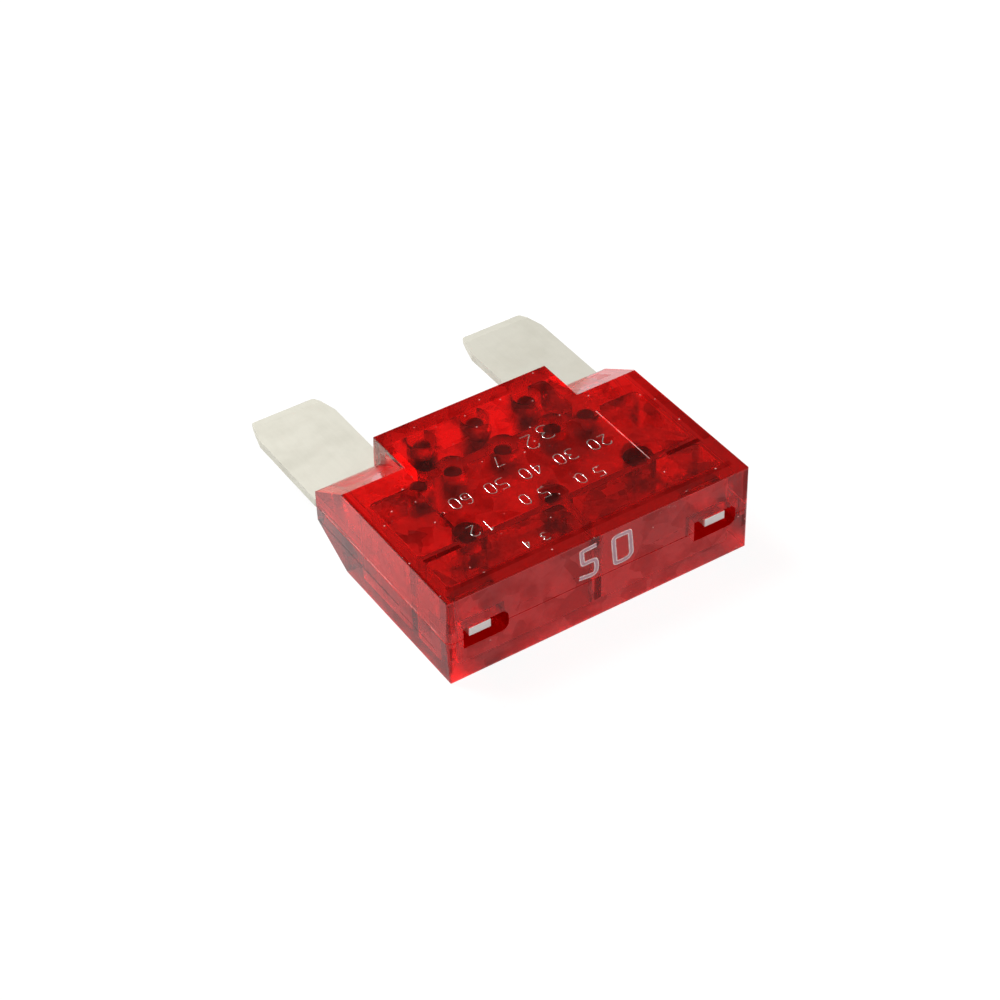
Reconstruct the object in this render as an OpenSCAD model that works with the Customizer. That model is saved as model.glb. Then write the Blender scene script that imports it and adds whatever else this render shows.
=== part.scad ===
// Large automotive blade fuse: two moulded housing halves, welded along their seam around one
// stamped strip that carries both blades, both test tabs and the fusible link.
// The fuse lies on a large face: width along X, length along Y towards the blade tips,
// thickness along Z. Lengths along Y are measured from the end face with the test slots.

/* [Housing] */
// Width of the housing at its seam
body_w = 29.2; // [28:0.1:34]
// Length of the housing along its centre block
body_len = 21.1; // [20.6:0.1:25]
// Thickness of the housing over both large faces
body_t = 8.5; // [7.6:0.1:11]
// Width of the centre block that stands between the blades
block_w = 17.3; // [15.6:0.1:19]
// How far the centre block stands past the two shoulders
block_stand = 0.5; // [0:0.1:2]
// Length of the bevel that thins each shoulder towards its blade
bevel_len = 4.6; // [3:0.1:5]
// Height of the blunt end of each shoulder
shoulder_end_h = 3; // [2:0.1:5]
// How much narrower each large face is than the seam, on every side
draft = 0.1; // [0:0.02:0.3]
// Radius of the upright corners at the end face
corner_r = 0.5; // [0.4:0.1:2]
// Radius of the moulded edges
edge_r = 0.12; // [0.06:0.02:0.4]

/* [Walls] */
// Wall over the link chamber
chamber_wall = 1.3; // [0.8:0.1:2.4]
// Wall over the end gallery, the blade roots and the block pocket
pocket_wall = 0.9; // [0.7:0.1:2.4]
// Wall behind the end face
end_wall = 2; // [1.2:0.1:2.6]
// Side walls
side_wall = 1.3; // [0.8:0.1:1.7]
// Side walls of the centre block beside its pocket
block_wall = 1; // [0.7:0.1:1.1]
// Wall at the far end of the centre block
back_wall = 1.3; // [0.8:0.1:2]
// Thickness of the cross walls
cross_wall = 0.8; // [0.5:0.1:1.4]
// Thickness of the web across the end gallery
web_t = 0.7; // [0.4:0.1:1.6]
// Radius of the upright corners inside the pockets
pocket_r = 0.5; // [0.2:0.05:0.7]

/* [Pockets] */
// Clear length of the end gallery behind the test slots
gallery_len = 3.5; // [2.5:0.1:4]
// Clear length of the link chamber
chamber_len = 7.8; // [7:0.1:8.4]
// Clear width of the link chamber
chamber_w = 17.8; // [16.6:0.1:19.6]

/* [Locating pins] */
// Diameter of the pins on the lower half
pin_d = 1.4; // [0.8:0.1:1.8]
// Height of the pins above the seam
pin_reach = 1.6; // [0.6:0.1:2]
// Clearance all round a pin in its socket
pin_gap = 0.06; // [0.02:0.02:0.14]
// Space below the end of a socket and above its pin
socket_spare = 0.2; // [0.1:0.05:0.4]
// Diameter of the bosses that carry pins and sockets
boss_d = 2.5; // [2.2:0.1:3]
// Distance of the side pins on the far cross wall from the middle
cross_pin_x = 4.9; // [3:0.1:5.2]
// Distance of the outer block pins from the middle
block_pin_x = 5.2; // [3:0.1:6]
// Distance of the block pins from the wall that their bosses run into
block_pin_inset = 0.95; // [0.4:0.05:1.05]

/* [Strip] */
// Thickness of the stamped strip
strip_t = 0.8; // [0.6:0.05:1]
// How far the outer edge of each blade stays inside the side of the housing
blade_inset = 0.1; // [0.05:0.05:0.6]
// Width of one blade
blade_w = 7.5; // [6.6:0.1:8]
// How far the blades stand past the centre block
blade_reach = 12; // [8:0.1:16]
// How far each side of a blade draws in at the tip
tip_draw = 0.7; // [0.2:0.1:1.5]
// Length over which a blade draws in
tip_len = 2.7; // [1.5:0.1:4]
// Thickness of the coined edge at the tip
coin_t = 0.35; // [0.2:0.05:0.6]
// Length of the coined bevel at the tip
coin_len = 1; // [0.4:0.1:2]
// How far each blade root reaches under the side of the centre block
root_lap = 1.15; // [1.15:0.05:1.6]
// How far the outer edge of a blade root stays inside the outer edge of its blade
root_inset = 1.8; // [1.7:0.1:2.2]
// Bend radius at the shoulders of the stamping
strip_r = 0.3; // [0.1:0.05:0.5]

/* [Test points] */
// Width of a test tab
tab_w = 2; // [1.2:0.1:2.6]
// How far the outer edge of a test tab stays inside the outer edge of its blade root
tab_inset = 0.3; // [0.3:0.05:0.6]
// How far a test tab stays behind the end face
tab_recess = 0.45; // [0.2:0.05:1]
// Width of a test slot
slot_w = 4.2; // [3.4:0.1:4.4]
// Height of a test slot
slot_h = 2; // [1.4:0.1:2.4]
// How far the middle of a test slot lies inside the middle of its test tab
slot_shift = 0.3; // [0:0.05:0.5]
// Radius of the round end of a test slot, as a share of the slot's height
slot_round = 0.35; // [0.1:0.05:0.45]

/* [Link] */
// Width of the link where it leaves the blade roots
link_w = 2.6; // [1.8:0.1:3.2]
// Width of the link at its neck
neck_w = 1.1; // [0.6:0.1:1.6]
// Thickness of the link
link_t = 0.45; // [0.3:0.05:0.6]
// How far the link swings to each side of its middle line
link_swing = 1.5; // [0.4:0.1:1.8]

/* [Fits] */
// Gap between the two halves at the seam
seam_gap = 0.04; // [0.02:0.01:0.1]
// Gap between the strip and the faces that clamp it
clamp_gap = 0.03; // [0.02:0.01:0.08]
// Gap between the edges of the strip and the housing
edge_gap = 0.12; // [0.05:0.01:0.2]

/* [Hidden] */
$fn = 32;

// Steps in each rounded edge, and in the curve of the link
ARC_STEPS = 4;
LINK_STEPS = 36;
// Length by which a cut runs past the face that it opens
PAST = 1;
// Sum of two unit directions below which a corner counts as straight
STRAIGHT = 0.001;

seam_z = body_t / 2;
half_h = seam_z - seam_gap / 2;
overall_len = body_len + blade_reach;
shoulder_len = body_len - block_stand;
bevel_start = shoulder_len - bevel_len;

gallery_y = end_wall;
chamber_y = gallery_y + gallery_len + cross_wall;
chamber_end = chamber_y + chamber_len;
block_pocket_y = chamber_end + cross_wall;
block_pocket_end = body_len - back_wall;
pocket_half_w = body_w / 2 - draft - side_wall;

blade_out_x = body_w / 2 - blade_inset;
blade_in_x = blade_out_x - blade_w;
root_in_x = block_w / 2 - root_lap;
root_out_x = blade_out_x - root_inset;
root_y = chamber_y + pin_d / 2 + cross_wall / 2;
tab_x = root_out_x - tab_inset - tab_w / 2;
slot_x = tab_x - slot_shift;
link_y = (chamber_y + chamber_end) / 2;
link_overlap = strip_t;

pin_r = pin_d / 2;
socket_r = pin_r + pin_gap;
boss_r = boss_d / 2;
notch_r = pin_r + edge_gap;
root_pin_x = chamber_w / 2 - boss_r / 2;
front_pin_y = chamber_y + boss_r / 2;
back_pin_y = chamber_end + cross_wall / 2;
block_pin_y = block_pocket_end - block_pin_inset;
ROOT_PINS = [for (side = [-1, 1], y = [front_pin_y, back_pin_y]) [side * root_pin_x, y]];
MIDDLE_PINS = [[0, front_pin_y], [0, back_pin_y]];
CROSS_PINS = [for (side = [-1, 1]) [side * cross_pin_x, back_pin_y]];
BLOCK_PINS = [for (side = [-1, 0, 1]) [side * block_pin_x, block_pin_y]];
PINS = concat(ROOT_PINS, MIDDLE_PINS, CROSS_PINS, BLOCK_PINS);

function unit(v) = v / norm(v);

function turned(v, angle) = [
    v.x * cos(angle) - v.y * sin(angle),
    v.x * sin(angle) + v.y * cos(angle)
];

// Points of one outline corner, given as [x, y, radius]: an arc that touches both sides,
// or the bare point where the radius is zero or the outline runs straight on
function corner(before, at, after) =
    let (
        point = [at.x, at.y],
        to_before = unit([before.x, before.y] - point),
        to_after = unit([after.x, after.y] - point)
    )
    at.z == 0 || norm(to_before + to_after) < STRAIGHT ? [point] :
    let (
        half_angle = acos(to_before * to_after) / 2,
        centre = point + unit(to_before + to_after) * at.z / sin(half_angle),
        start = point + to_before * at.z / tan(half_angle) - centre,
        sweep = (180 - 2 * half_angle) * sign(cross(to_after, to_before))
    )
    [for (i = [0 : ARC_STEPS]) centre + turned(start, sweep * i / ARC_STEPS)];

// Outline through corners that each name their own radius
function outline(corners) =
    let (n = len(corners))
    [for (i = [0 : n - 1]) each corner(corners[(i + n - 1) % n], corners[i], corners[(i + 1) % n])];

// Stands every node so that the origin is under the middle of the fuse
module placed() {
    translate([0, -overall_len / 2, 0])
        children();
}

// Solid with its outline in X and Z, running along Y
module along_y(points, y_from, y_to) {
    translate([0, y_to, 0])
        rotate([90, 0, 0])
            linear_extrude(height = y_to - y_from)
                polygon(points);
}

// Solid with its outline in Y and Z, running across X
module across_x(points, width) {
    translate([-width / 2, 0, 0])
        rotate([90, 0, 90])
            linear_extrude(height = width)
                polygon(points);
}

// Upright pocket with round corners
module pocket(x_from, x_to, y_from, y_to, z_from, z_to) {
    translate([0, 0, z_from])
        linear_extrude(height = z_to - z_from)
            polygon(outline([
                [x_from, y_from, pocket_r],
                [x_to, y_from, pocket_r],
                [x_to, y_to, pocket_r],
                [x_from, y_to, pocket_r]
            ]));
}

// The same shape on the left and on the right
module both_sides() {
    children();
    mirror([1, 0, 0])
        children();
}

// Outer form of one half over the full width, with its bevelled shoulders
module shoulder_form() {
    face_half_w = body_w / 2 - draft;
    end_z = seam_z - shoulder_end_h / 2;
    intersection() {
        linear_extrude(height = half_h)
            polygon(outline([
                [-body_w / 2, 0, corner_r],
                [body_w / 2, 0, corner_r],
                [body_w / 2, shoulder_len, edge_r],
                [-body_w / 2, shoulder_len, edge_r]
            ]));
        along_y(outline([
            [-face_half_w, 0, edge_r],
            [face_half_w, 0, edge_r],
            [body_w / 2, seam_z, 0],
            [-body_w / 2, seam_z, 0]
        ]), -PAST, body_len + PAST);
        across_x(outline([
            [draft, 0, edge_r],
            [bevel_start, 0, edge_r],
            [shoulder_len, end_z, edge_r],
            [shoulder_len, seam_z, 0],
            [0, seam_z, 0]
        ]), body_w + 2 * PAST);
    }
}

// Outer form of one half along the centre block
module block_form() {
    intersection() {
        linear_extrude(height = half_h)
            polygon(outline([
                [-block_w / 2, bevel_start / 2, 0],
                [block_w / 2, bevel_start / 2, 0],
                [block_w / 2, body_len, edge_r],
                [-block_w / 2, body_len, edge_r]
            ]));
        along_y(outline([
            [-block_w / 2 + draft, 0, edge_r],
            [block_w / 2 - draft, 0, edge_r],
            [block_w / 2, seam_z, 0],
            [-block_w / 2, seam_z, 0]
        ]), 0, body_len + PAST);
        across_x(outline([
            [0, 0, 0],
            [body_len - draft, 0, edge_r],
            [body_len, seam_z, 0],
            [0, seam_z, 0]
        ]), block_w + 2 * PAST);
    }
}

// Pockets that core out one half between its walls. The link chamber's own round corners lie
// inside the pockets at the blade roots, so that it opens into them over its whole length
module pockets() {
    top = half_h + PAST;
    both_sides() {
        pocket(web_t / 2, pocket_half_w, gallery_y, gallery_y + gallery_len, pocket_wall, top);
        pocket(chamber_w / 2, pocket_half_w, chamber_y, chamber_end, pocket_wall, top);
    }
    pocket(
        -chamber_w / 2 - 2 * pocket_r, chamber_w / 2 + 2 * pocket_r,
        chamber_y, chamber_end, chamber_wall, top
    );
    pocket(
        -block_w / 2 + block_wall, block_w / 2 - block_wall,
        block_pocket_y, block_pocket_end, pocket_wall, top
    );
}

// One test slot, on the side given as -1 or 1: square at its left end, round at its right end
module test_slot(side) {
    left = side * slot_x - slot_w / 2;
    low = seam_z - slot_h / 2;
    along_y(outline([
        [left, low, 0],
        [left + slot_w, low, slot_round * slot_h],
        [left + slot_w, low + slot_h, slot_round * slot_h],
        [left, low + slot_h, 0]
    ]), -PAST, gallery_y + PAST);
}

// Corners of one blade root and its test tab, each edge moved out by the given amount
function root_corners(grow) = [
    [root_out_x + grow, root_y - grow, strip_r],
    [tab_x + tab_w / 2 + grow, root_y - grow - strip_r, 0],
    [tab_x + tab_w / 2 + grow, tab_recess - grow, 0],
    [tab_x - tab_w / 2 - grow, tab_recess - grow, 0],
    [tab_x - tab_w / 2 - grow, root_y - grow, strip_r],
    [root_in_x - grow, root_y - grow, strip_r]
];

// Corners of one blade from the inner side round its tip, clear of the housing at both steps
function blade_corners() = [
    [root_in_x, body_len + edge_gap, strip_r],
    [blade_in_x, body_len + edge_gap + strip_r, strip_r],
    [blade_in_x, overall_len - tip_len, strip_r],
    [blade_in_x + tip_draw, overall_len, strip_r],
    [blade_out_x - tip_draw, overall_len, strip_r],
    [blade_out_x, overall_len - tip_len, strip_r],
    [blade_out_x, shoulder_len + edge_gap, strip_r],
    [root_out_x, shoulder_len + edge_gap, strip_r]
];

// Room for one blade root and test tab in one half, open at the blade end
module strip_recess() {
    past_end = [
        [root_in_x - edge_gap, body_len + PAST, 0],
        [root_out_x + edge_gap, body_len + PAST, 0]
    ];
    translate([0, 0, seam_z - strip_t / 2 - clamp_gap])
        linear_extrude(height = strip_t + 2 * clamp_gap)
            polygon(outline(concat(past_end, root_corners(edge_gap))));
}

// One half without pins or sockets, its large face down
module half_shell() {
    difference() {
        union() {
            difference() {
                union() {
                    shoulder_form();
                    block_form();
                }
                pockets();
            }
            for (at = PINS)
                translate([at.x, at.y, pocket_wall / 2])
                    cylinder(h = half_h - pocket_wall / 2, r = boss_r);
        }
        for (side = [-1, 1])
            test_slot(side);
        both_sides()
            strip_recess();
    }
}

module housing_lower() {
    color([0.80, 0.06, 0.07])
        placed() {
            half_shell();
            for (at = PINS)
                translate([at.x, at.y, pocket_wall / 2])
                    cylinder(h = seam_z + pin_reach - pocket_wall / 2, r = pin_r);
        }
}

module housing_upper() {
    color([0.80, 0.06, 0.07])
        placed()
            translate([0, 0, body_t])
                mirror([0, 0, 1])
                    difference() {
                        half_shell();
                        for (at = PINS)
                            translate([at.x, at.y, seam_z - pin_reach - socket_spare])
                                cylinder(h = pin_reach + socket_spare + PAST, r = socket_r);
                    }
}

// Middle of the link at a share u of its half length, from -1 to 1: a waved line that
// leaves both blade roots square to their edges
function link_middle(u) = [
    u * (root_in_x + link_overlap),
    link_y + link_swing * 1.5 * sin(180 * u) * (1 - u * u)
];

// Point on the edge of the link: half the width away from the middle line, square to it
function link_edge(u, side) =
    let (
        step = 0.01,
        along = unit(link_middle(u + step) - link_middle(u - step)),
        width = neck_w + (link_w - neck_w) * u * u
    )
    link_middle(u) + side * width / 2 * [-along.y, along.x];

module fusible_link() {
    shares = [for (i = [0 : LINK_STEPS]) 2 * i / LINK_STEPS - 1];
    backwards = [for (i = [0 : LINK_STEPS]) 1 - 2 * i / LINK_STEPS];
    translate([0, 0, seam_z - link_t / 2])
        linear_extrude(height = link_t)
            polygon(concat(
                [for (u = shares) link_edge(u, -1)],
                [for (u = backwards) link_edge(u, 1)]
            ));
}

// Both blades, cut to the coined bevel at their tips and notched round the pins
module blades() {
    half_t = strip_t / 2;
    difference() {
        intersection() {
            both_sides()
                translate([0, 0, seam_z - half_t])
                    linear_extrude(height = strip_t)
                        polygon(outline(concat(blade_corners(), root_corners(0))));
            across_x([
                [0, seam_z - half_t],
                [overall_len - coin_len, seam_z - half_t],
                [overall_len, seam_z - coin_t / 2],
                [overall_len, seam_z + coin_t / 2],
                [overall_len - coin_len, seam_z + half_t],
                [0, seam_z + half_t]
            ], body_w + 2 * PAST);
        }
        for (at = ROOT_PINS)
            translate([at.x, at.y, seam_z - strip_t])
                cylinder(h = 2 * strip_t, r = notch_r);
    }
}

module fuse_strip() {
    color([0.84, 0.83, 0.78])
        placed() {
            blades();
            fusible_link();
        }
}

housing_lower();
housing_upper();
fuse_strip();
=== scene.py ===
"""Dresses the large blade fuse: clear red housing, matte plated strip, printed rating and raised figures."""

import logging
from dataclasses import dataclass
from enum import Enum
from typing import Any

import bpy
import numpy as np
from mathutils import Matrix, Vector


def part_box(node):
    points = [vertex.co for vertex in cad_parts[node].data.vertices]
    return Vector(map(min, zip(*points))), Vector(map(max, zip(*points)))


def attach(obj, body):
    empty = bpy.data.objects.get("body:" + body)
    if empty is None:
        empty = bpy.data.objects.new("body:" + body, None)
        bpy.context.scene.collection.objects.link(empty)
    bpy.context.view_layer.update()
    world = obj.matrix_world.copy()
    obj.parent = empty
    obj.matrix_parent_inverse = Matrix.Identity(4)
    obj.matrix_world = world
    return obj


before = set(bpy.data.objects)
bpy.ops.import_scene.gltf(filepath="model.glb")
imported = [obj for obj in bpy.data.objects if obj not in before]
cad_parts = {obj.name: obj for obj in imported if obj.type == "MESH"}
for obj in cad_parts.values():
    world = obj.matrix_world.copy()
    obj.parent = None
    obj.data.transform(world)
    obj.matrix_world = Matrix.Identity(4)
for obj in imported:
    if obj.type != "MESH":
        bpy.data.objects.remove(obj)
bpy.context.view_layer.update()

LOG = logging.getLogger("fuse")
MM = 0.001
UP = np.array([0.0, 0.0, 1.0])
TOWARDS_END = np.array([0.0, -1.0, 0.0])
# Degrees of a bend past which an edge isn't smoothed
SHARP = 40.0
WHITE = (1.0, 1.0, 1.0, 1.0)
WHOLE = (0.0, 1.0)
# Thin layers in millimetres that hold the housing's upper, end and side faces
TOP_FACE = (8.4, 8.6)
END_FACE = (-16.6, -16.4)
SIDE_FACE = (14.3, 14.7)

Colour = tuple[float, float, float, float]
Span = tuple[float, float]
Triple = tuple[float, float, float]
Socket = bpy.types.NodeSocket
# What feeds an input: another node's output, or a plain number
Fed = Socket | float


class Slot(Enum):
    """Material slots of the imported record."""

    HOUSING = "housing"
    STRIP = "strip"
    PRINT = "rating_print"


class Node(Enum):
    """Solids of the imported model."""

    LOWER = "housing_lower"
    UPPER = "housing_upper"
    STRIP = "fuse_strip"


def upper_box() -> tuple[np.ndarray, np.ndarray]:
    """Returns the lowest and the highest corner of the upper half's box, in metres."""
    low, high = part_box(Node.UPPER.value)
    return np.array(low), np.array(high)


@dataclass(frozen=True)
class Surface:
    """Points, faces and one number per point across the surface.

    Args:
        points: Places in metres, one row each.
        faces: Point numbers of each face.
        across: Way across the profile from -1 to 1, one per point.
    """

    points: np.ndarray
    faces: list[list[int]]
    across: np.ndarray


def softened(points: np.ndarray, closed: bool, rounds: int = 2) -> np.ndarray:
    """Cuts the corners of a line until it reads as a curve.

    Each round puts points a quarter and three quarters along every side in place of the corners.
    An open line keeps its two ends.

    Args:
        points: Corners of the line, one row each.
        closed: Whether the last corner joins the first.
        rounds: How often the corners are cut.

    Returns:
        The points of the softened line.
    """
    for _ in range(rounds):
        here = points if closed else points[:-1]
        ahead = np.roll(points, -1, axis=0) if closed else points[1:]
        cut = np.stack([0.75 * here + 0.25 * ahead, 0.25 * here + 0.75 * ahead], axis=1)
        cut = cut.reshape(-1, points.shape[1])
        points = cut if closed else np.vstack([points[:1], cut, points[-1:]])
    return points


def unit(rows: np.ndarray) -> np.ndarray:
    """Scales every row to length one."""
    return rows / np.linalg.norm(rows, axis=1, keepdims=True)


def carried(path: np.ndarray, profile: np.ndarray, up: np.ndarray, closed: bool) -> Surface:
    """Carries a closed profile along a flat path.

    A point is the path's point, plus the profile's first number times the mitre, plus its second
    times up. The mitre is up crossed with the mean direction and divided by that mean's squared
    length, so that the width stays the same round a bend.

    Args:
        path: Places in metres, one row each.
        profile: Sideways and upward offsets in metres, anticlockwise.
        up: Direction that stands square on the path's plane.
        closed: Whether the path's end joins its start.

    Returns:
        The closed surface, with its ends capped where the path is open.
    """
    if closed:
        ahead = unit(np.roll(path, -1, axis=0) - path)
        behind = np.roll(ahead, 1, axis=0)
    else:
        steps = unit(np.diff(path, axis=0))
        ahead = np.vstack([steps, steps[-1:]])
        behind = np.vstack([steps[:1], steps])
    mean = (ahead + behind) / 2
    side = np.cross(up, mean) / np.sum(mean**2, axis=1, keepdims=True)
    points = path[:, None] + side[:, None] * profile[None, :, :1] + up * profile[None, :, 1:]
    rings, width = len(path), len(profile)
    ring, place = np.meshgrid(np.arange(rings if closed else rings - 1), np.arange(width), indexing="ij")
    start, after, beside = ring * width, (ring + 1) % rings * width, (place + 1) % width
    quads = np.stack([start + place, after + place, after + beside, start + beside], axis=-1)
    faces = quads.reshape(-1, 4).tolist()
    if not closed:
        faces.append(list(range(width)))
        faces.append(list(range((rings - 1) * width, rings * width))[::-1])
    across = np.tile(profile[:, 0] / np.abs(profile[:, 0]).max(), rings)
    return Surface(points.reshape(-1, 3), faces, across)


def joined(parts: list[Surface]) -> Surface:
    """Puts several surfaces into one."""
    starts = np.cumsum([0] + [len(part.points) for part in parts[:-1]])
    faces = [[corner + start for corner in face] for part, start in zip(parts, starts) for face in part.faces]
    return Surface(
        np.vstack([part.points for part in parts]), faces, np.concatenate([part.across for part in parts])
    )


def dome_profile(width: float, relief: float, sunk: float, steps: int = 6) -> np.ndarray:
    """Profile of a raised line: half an ellipse on a low foot that sinks into the face below.

    Args:
        width: Width of the line in metres.
        relief: Height of its crown in metres.
        sunk: Depth of its foot in metres.
        steps: Sides of the half ellipse.

    Returns:
        Offsets in metres, sideways and upward.
    """
    turn = np.linspace(0.0, np.pi, steps + 1)
    crown = np.stack([np.cos(turn) * width / 2, np.sin(turn) * relief], axis=1)
    foot = np.array([[-width / 2, -sunk], [width / 2, -sunk]])
    return np.vstack([crown, foot])


def make_piece(name: str, surface: Surface, finish: bpy.types.Material) -> None:
    """Makes a mesh piece that rides on the fuse.

    Args:
        name: Name of the piece.
        surface: Its points and faces.
        finish: Its material.
    """
    mesh = bpy.data.meshes.new(name)
    mesh.from_pydata(surface.points.tolist(), [], surface.faces)
    across = mesh.attributes.new("across", "FLOAT", "POINT")
    across.data.foreach_set("value", surface.across.astype(np.float32))
    mesh.materials.append(finish)
    mesh.shade_smooth()
    mesh.set_sharp_from_angle(angle=np.radians(SHARP))
    piece = bpy.data.objects.new(name, mesh)
    bpy.context.scene.collection.objects.link(piece)
    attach(piece, "root")
    LOG.info("%s: %d points, %d faces", name, len(surface.points), len(surface.faces))


class Graph:
    """A node tree that nodes are added to with their settings and inputs in one call."""

    def __init__(self, tree: bpy.types.NodeTree) -> None:
        """Keeps the tree and empties it."""
        self.tree = tree
        tree.nodes.clear()

    def add(self, kind: str, inputs: dict[str | int, Any] | None = None, **settings: Any) -> bpy.types.Node:
        """Adds one node.

        Args:
            kind: The node's type without its ShaderNode prefix.
            inputs: A value or a linked output for each input, by name or number.
            settings: Properties of the node.

        Returns:
            The new node.
        """
        node = self.tree.nodes.new(f"ShaderNode{kind}")
        for name, value in settings.items():
            setattr(node, name, value)
        for name, value in (inputs or {}).items():
            if isinstance(value, Socket):
                self.tree.links.new(value, node.inputs[name])
            else:
                node.inputs[name].default_value = value
        return node

    def math(self, operation: str, first: Fed, second: Fed = 0.0, clamp: bool = False) -> Socket:
        """Adds one arithmetic step and returns its result."""
        inputs = {0: first, 1: second}
        return self.add("Math", inputs, operation=operation, use_clamp=clamp).outputs[0]

    def ramp(self, number: Fed, source: Span, target: Span = WHOLE) -> Socket:
        """Maps a number from one range to another, clamped."""
        inputs = dict(zip(("Value", "From Min", "From Max", "To Min", "To Max"), (number, *source, *target)))
        return self.add("MapRange", inputs).outputs["Result"]

    def times(self, first: Fed, second: Fed) -> Socket:
        """Multiplies two numbers."""
        return self.math("MULTIPLY", first, second)

    def parts(self, place: Socket) -> bpy.types.NodeOutputs:
        """Splits a place or a colour into X, Y and Z."""
        return self.add("SeparateXYZ", {0: place}).outputs

    def noise(self, place: Socket, scale: Fed, detail: float) -> bpy.types.NodeOutputs:
        """Adds a noise at a place and a scale per metre, and returns its outputs."""
        return self.add("TexNoise", {"Vector": place, "Scale": scale, "Detail": detail}).outputs

    def mixed(self, share: Fed, first: Socket, second: Socket) -> Socket:
        """Mixes two shaders by a share."""
        return self.add("MixShader", {0: share, 1: first, 2: second}).outputs[0]

    def coated(self, inputs: dict[str, Any]) -> Socket:
        """Adds the principled shader and returns it."""
        return self.add("BsdfPrincipled", inputs).outputs["BSDF"]

    def matte(self, colour: Colour) -> Socket:
        """Adds a matte shader and returns it."""
        return self.add("BsdfDiffuse", {"Color": colour}).outputs[0]

    def blend(self, share: Fed, first: Socket | Colour, second: Socket | Colour) -> Socket:
        """Mixes two colours by a share."""
        return self.add("Mix", {0: share, 6: first, 7: second}, data_type="RGBA").outputs[2]

    def bump(self, height: Socket, strength: float, distance: float) -> Socket:
        """Adds a bump from a height and returns its normal."""
        inputs = {"Strength": strength, "Distance": distance, "Height": height}
        return self.add("Bump", inputs).outputs["Normal"]

    def handled(self, place: Socket, scale: float) -> bpy.types.NodeOutputs:
        """Adds the handling marks at a place and a scale, and returns their outputs."""
        return self.add("Group", {"Vector": place, "Scale": scale}, node_tree=HandlingMarks().tree()).outputs


def new_material(name: str) -> tuple[bpy.types.Material, Graph]:
    """Starts a node material and returns it with its empty graph."""
    material = bpy.data.materials.new(name)
    material.use_nodes = True
    return material, Graph(material.node_tree)


@dataclass(frozen=True)
class HandlingMarks:
    """Smudges and hairline scratches of a handled surface, as a node group.

    Args:
        name: Name of the group.
        stretch: Squeeze of the scratches' noise along each axis.
        slant: Its turn about each axis in radians.
        finer: Its scale beside the smudges' noise.
        hairs: Noise between which scratches go from none to full.
        smudges: Noise between which smudges do.
        scratched: Height of a scratch beside the smudges' noise.
    """

    name: str = "handling_marks"
    stretch: Triple = (9.0, 0.7, 3.0)
    slant: Triple = (0.2, 0.1, 0.7)
    finer: float = 1.6
    hairs: Span = (0.66, 0.72)
    smudges: Span = (0.42, 0.68)
    scratched: float = -0.4

    def tree(self) -> bpy.types.NodeTree:
        """Builds the group, or finds it if it is built.

        Returns:
            The group, with Vector and Scale going in, and Smudge from 0 to 1 and Height coming out.
        """
        if self.name in bpy.data.node_groups:
            return bpy.data.node_groups[self.name]
        tree = bpy.data.node_groups.new(self.name, "ShaderNodeTree")
        tree.interface.new_socket("Vector", in_out="INPUT", socket_type="NodeSocketVector")
        tree.interface.new_socket("Scale", in_out="INPUT", socket_type="NodeSocketFloat")
        for output in ("Smudge", "Height"):
            tree.interface.new_socket(output, in_out="OUTPUT", socket_type="NodeSocketFloat")
        graph = Graph(tree)
        given = tree.nodes.new("NodeGroupInput").outputs
        smudge = graph.noise(given["Vector"], given["Scale"], 4.0)["Fac"]
        mapped = {"Vector": given["Vector"], "Scale": self.stretch, "Rotation": self.slant}
        stretched = graph.add("Mapping", mapped).outputs["Vector"]
        hairs = graph.noise(stretched, graph.times(given["Scale"], self.finer), 3.0)["Fac"]
        scratch = graph.ramp(hairs, self.hairs)
        cloudy = graph.ramp(smudge, self.smudges)
        height = graph.math("ADD", smudge, graph.times(scratch, self.scratched))
        out = tree.nodes.new("NodeGroupOutput")
        for socket, value in (("Smudge", cloudy), ("Height", height)):
            tree.links.new(value, out.inputs[socket])
        return tree


@dataclass(frozen=True)
class Places:
    """Coordinates inside a material, in metres.

    Args:
        graph: The material's graph.
        plain: Object coordinates.
        folded: The same with X as a distance from the middle plane.
        aside: That distance.
        along: Place along Y.
        height: Place along Z.
    """

    graph: Graph
    plain: Socket
    folded: Socket
    aside: Socket
    along: Socket
    height: Socket

    @classmethod
    def of(cls, graph: Graph) -> "Places":
        """Adds the nodes that give the coordinates."""
        plain = graph.add("TexCoord").outputs["Object"]
        parts = graph.parts(plain)
        aside = graph.math("ABSOLUTE", parts["X"])
        folded = graph.add("CombineXYZ", {"X": aside, "Y": parts["Y"], "Z": parts["Z"]}).outputs[0]
        return cls(graph, plain, folded, aside, parts["Y"], parts["Z"])

    def layer(self, low: float, high: float) -> Socket:
        """Masks the layer between two heights in metres."""
        above = self.graph.math("GREATER_THAN", self.height, low)
        return self.graph.times(above, self.graph.math("LESS_THAN", self.height, high))


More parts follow.
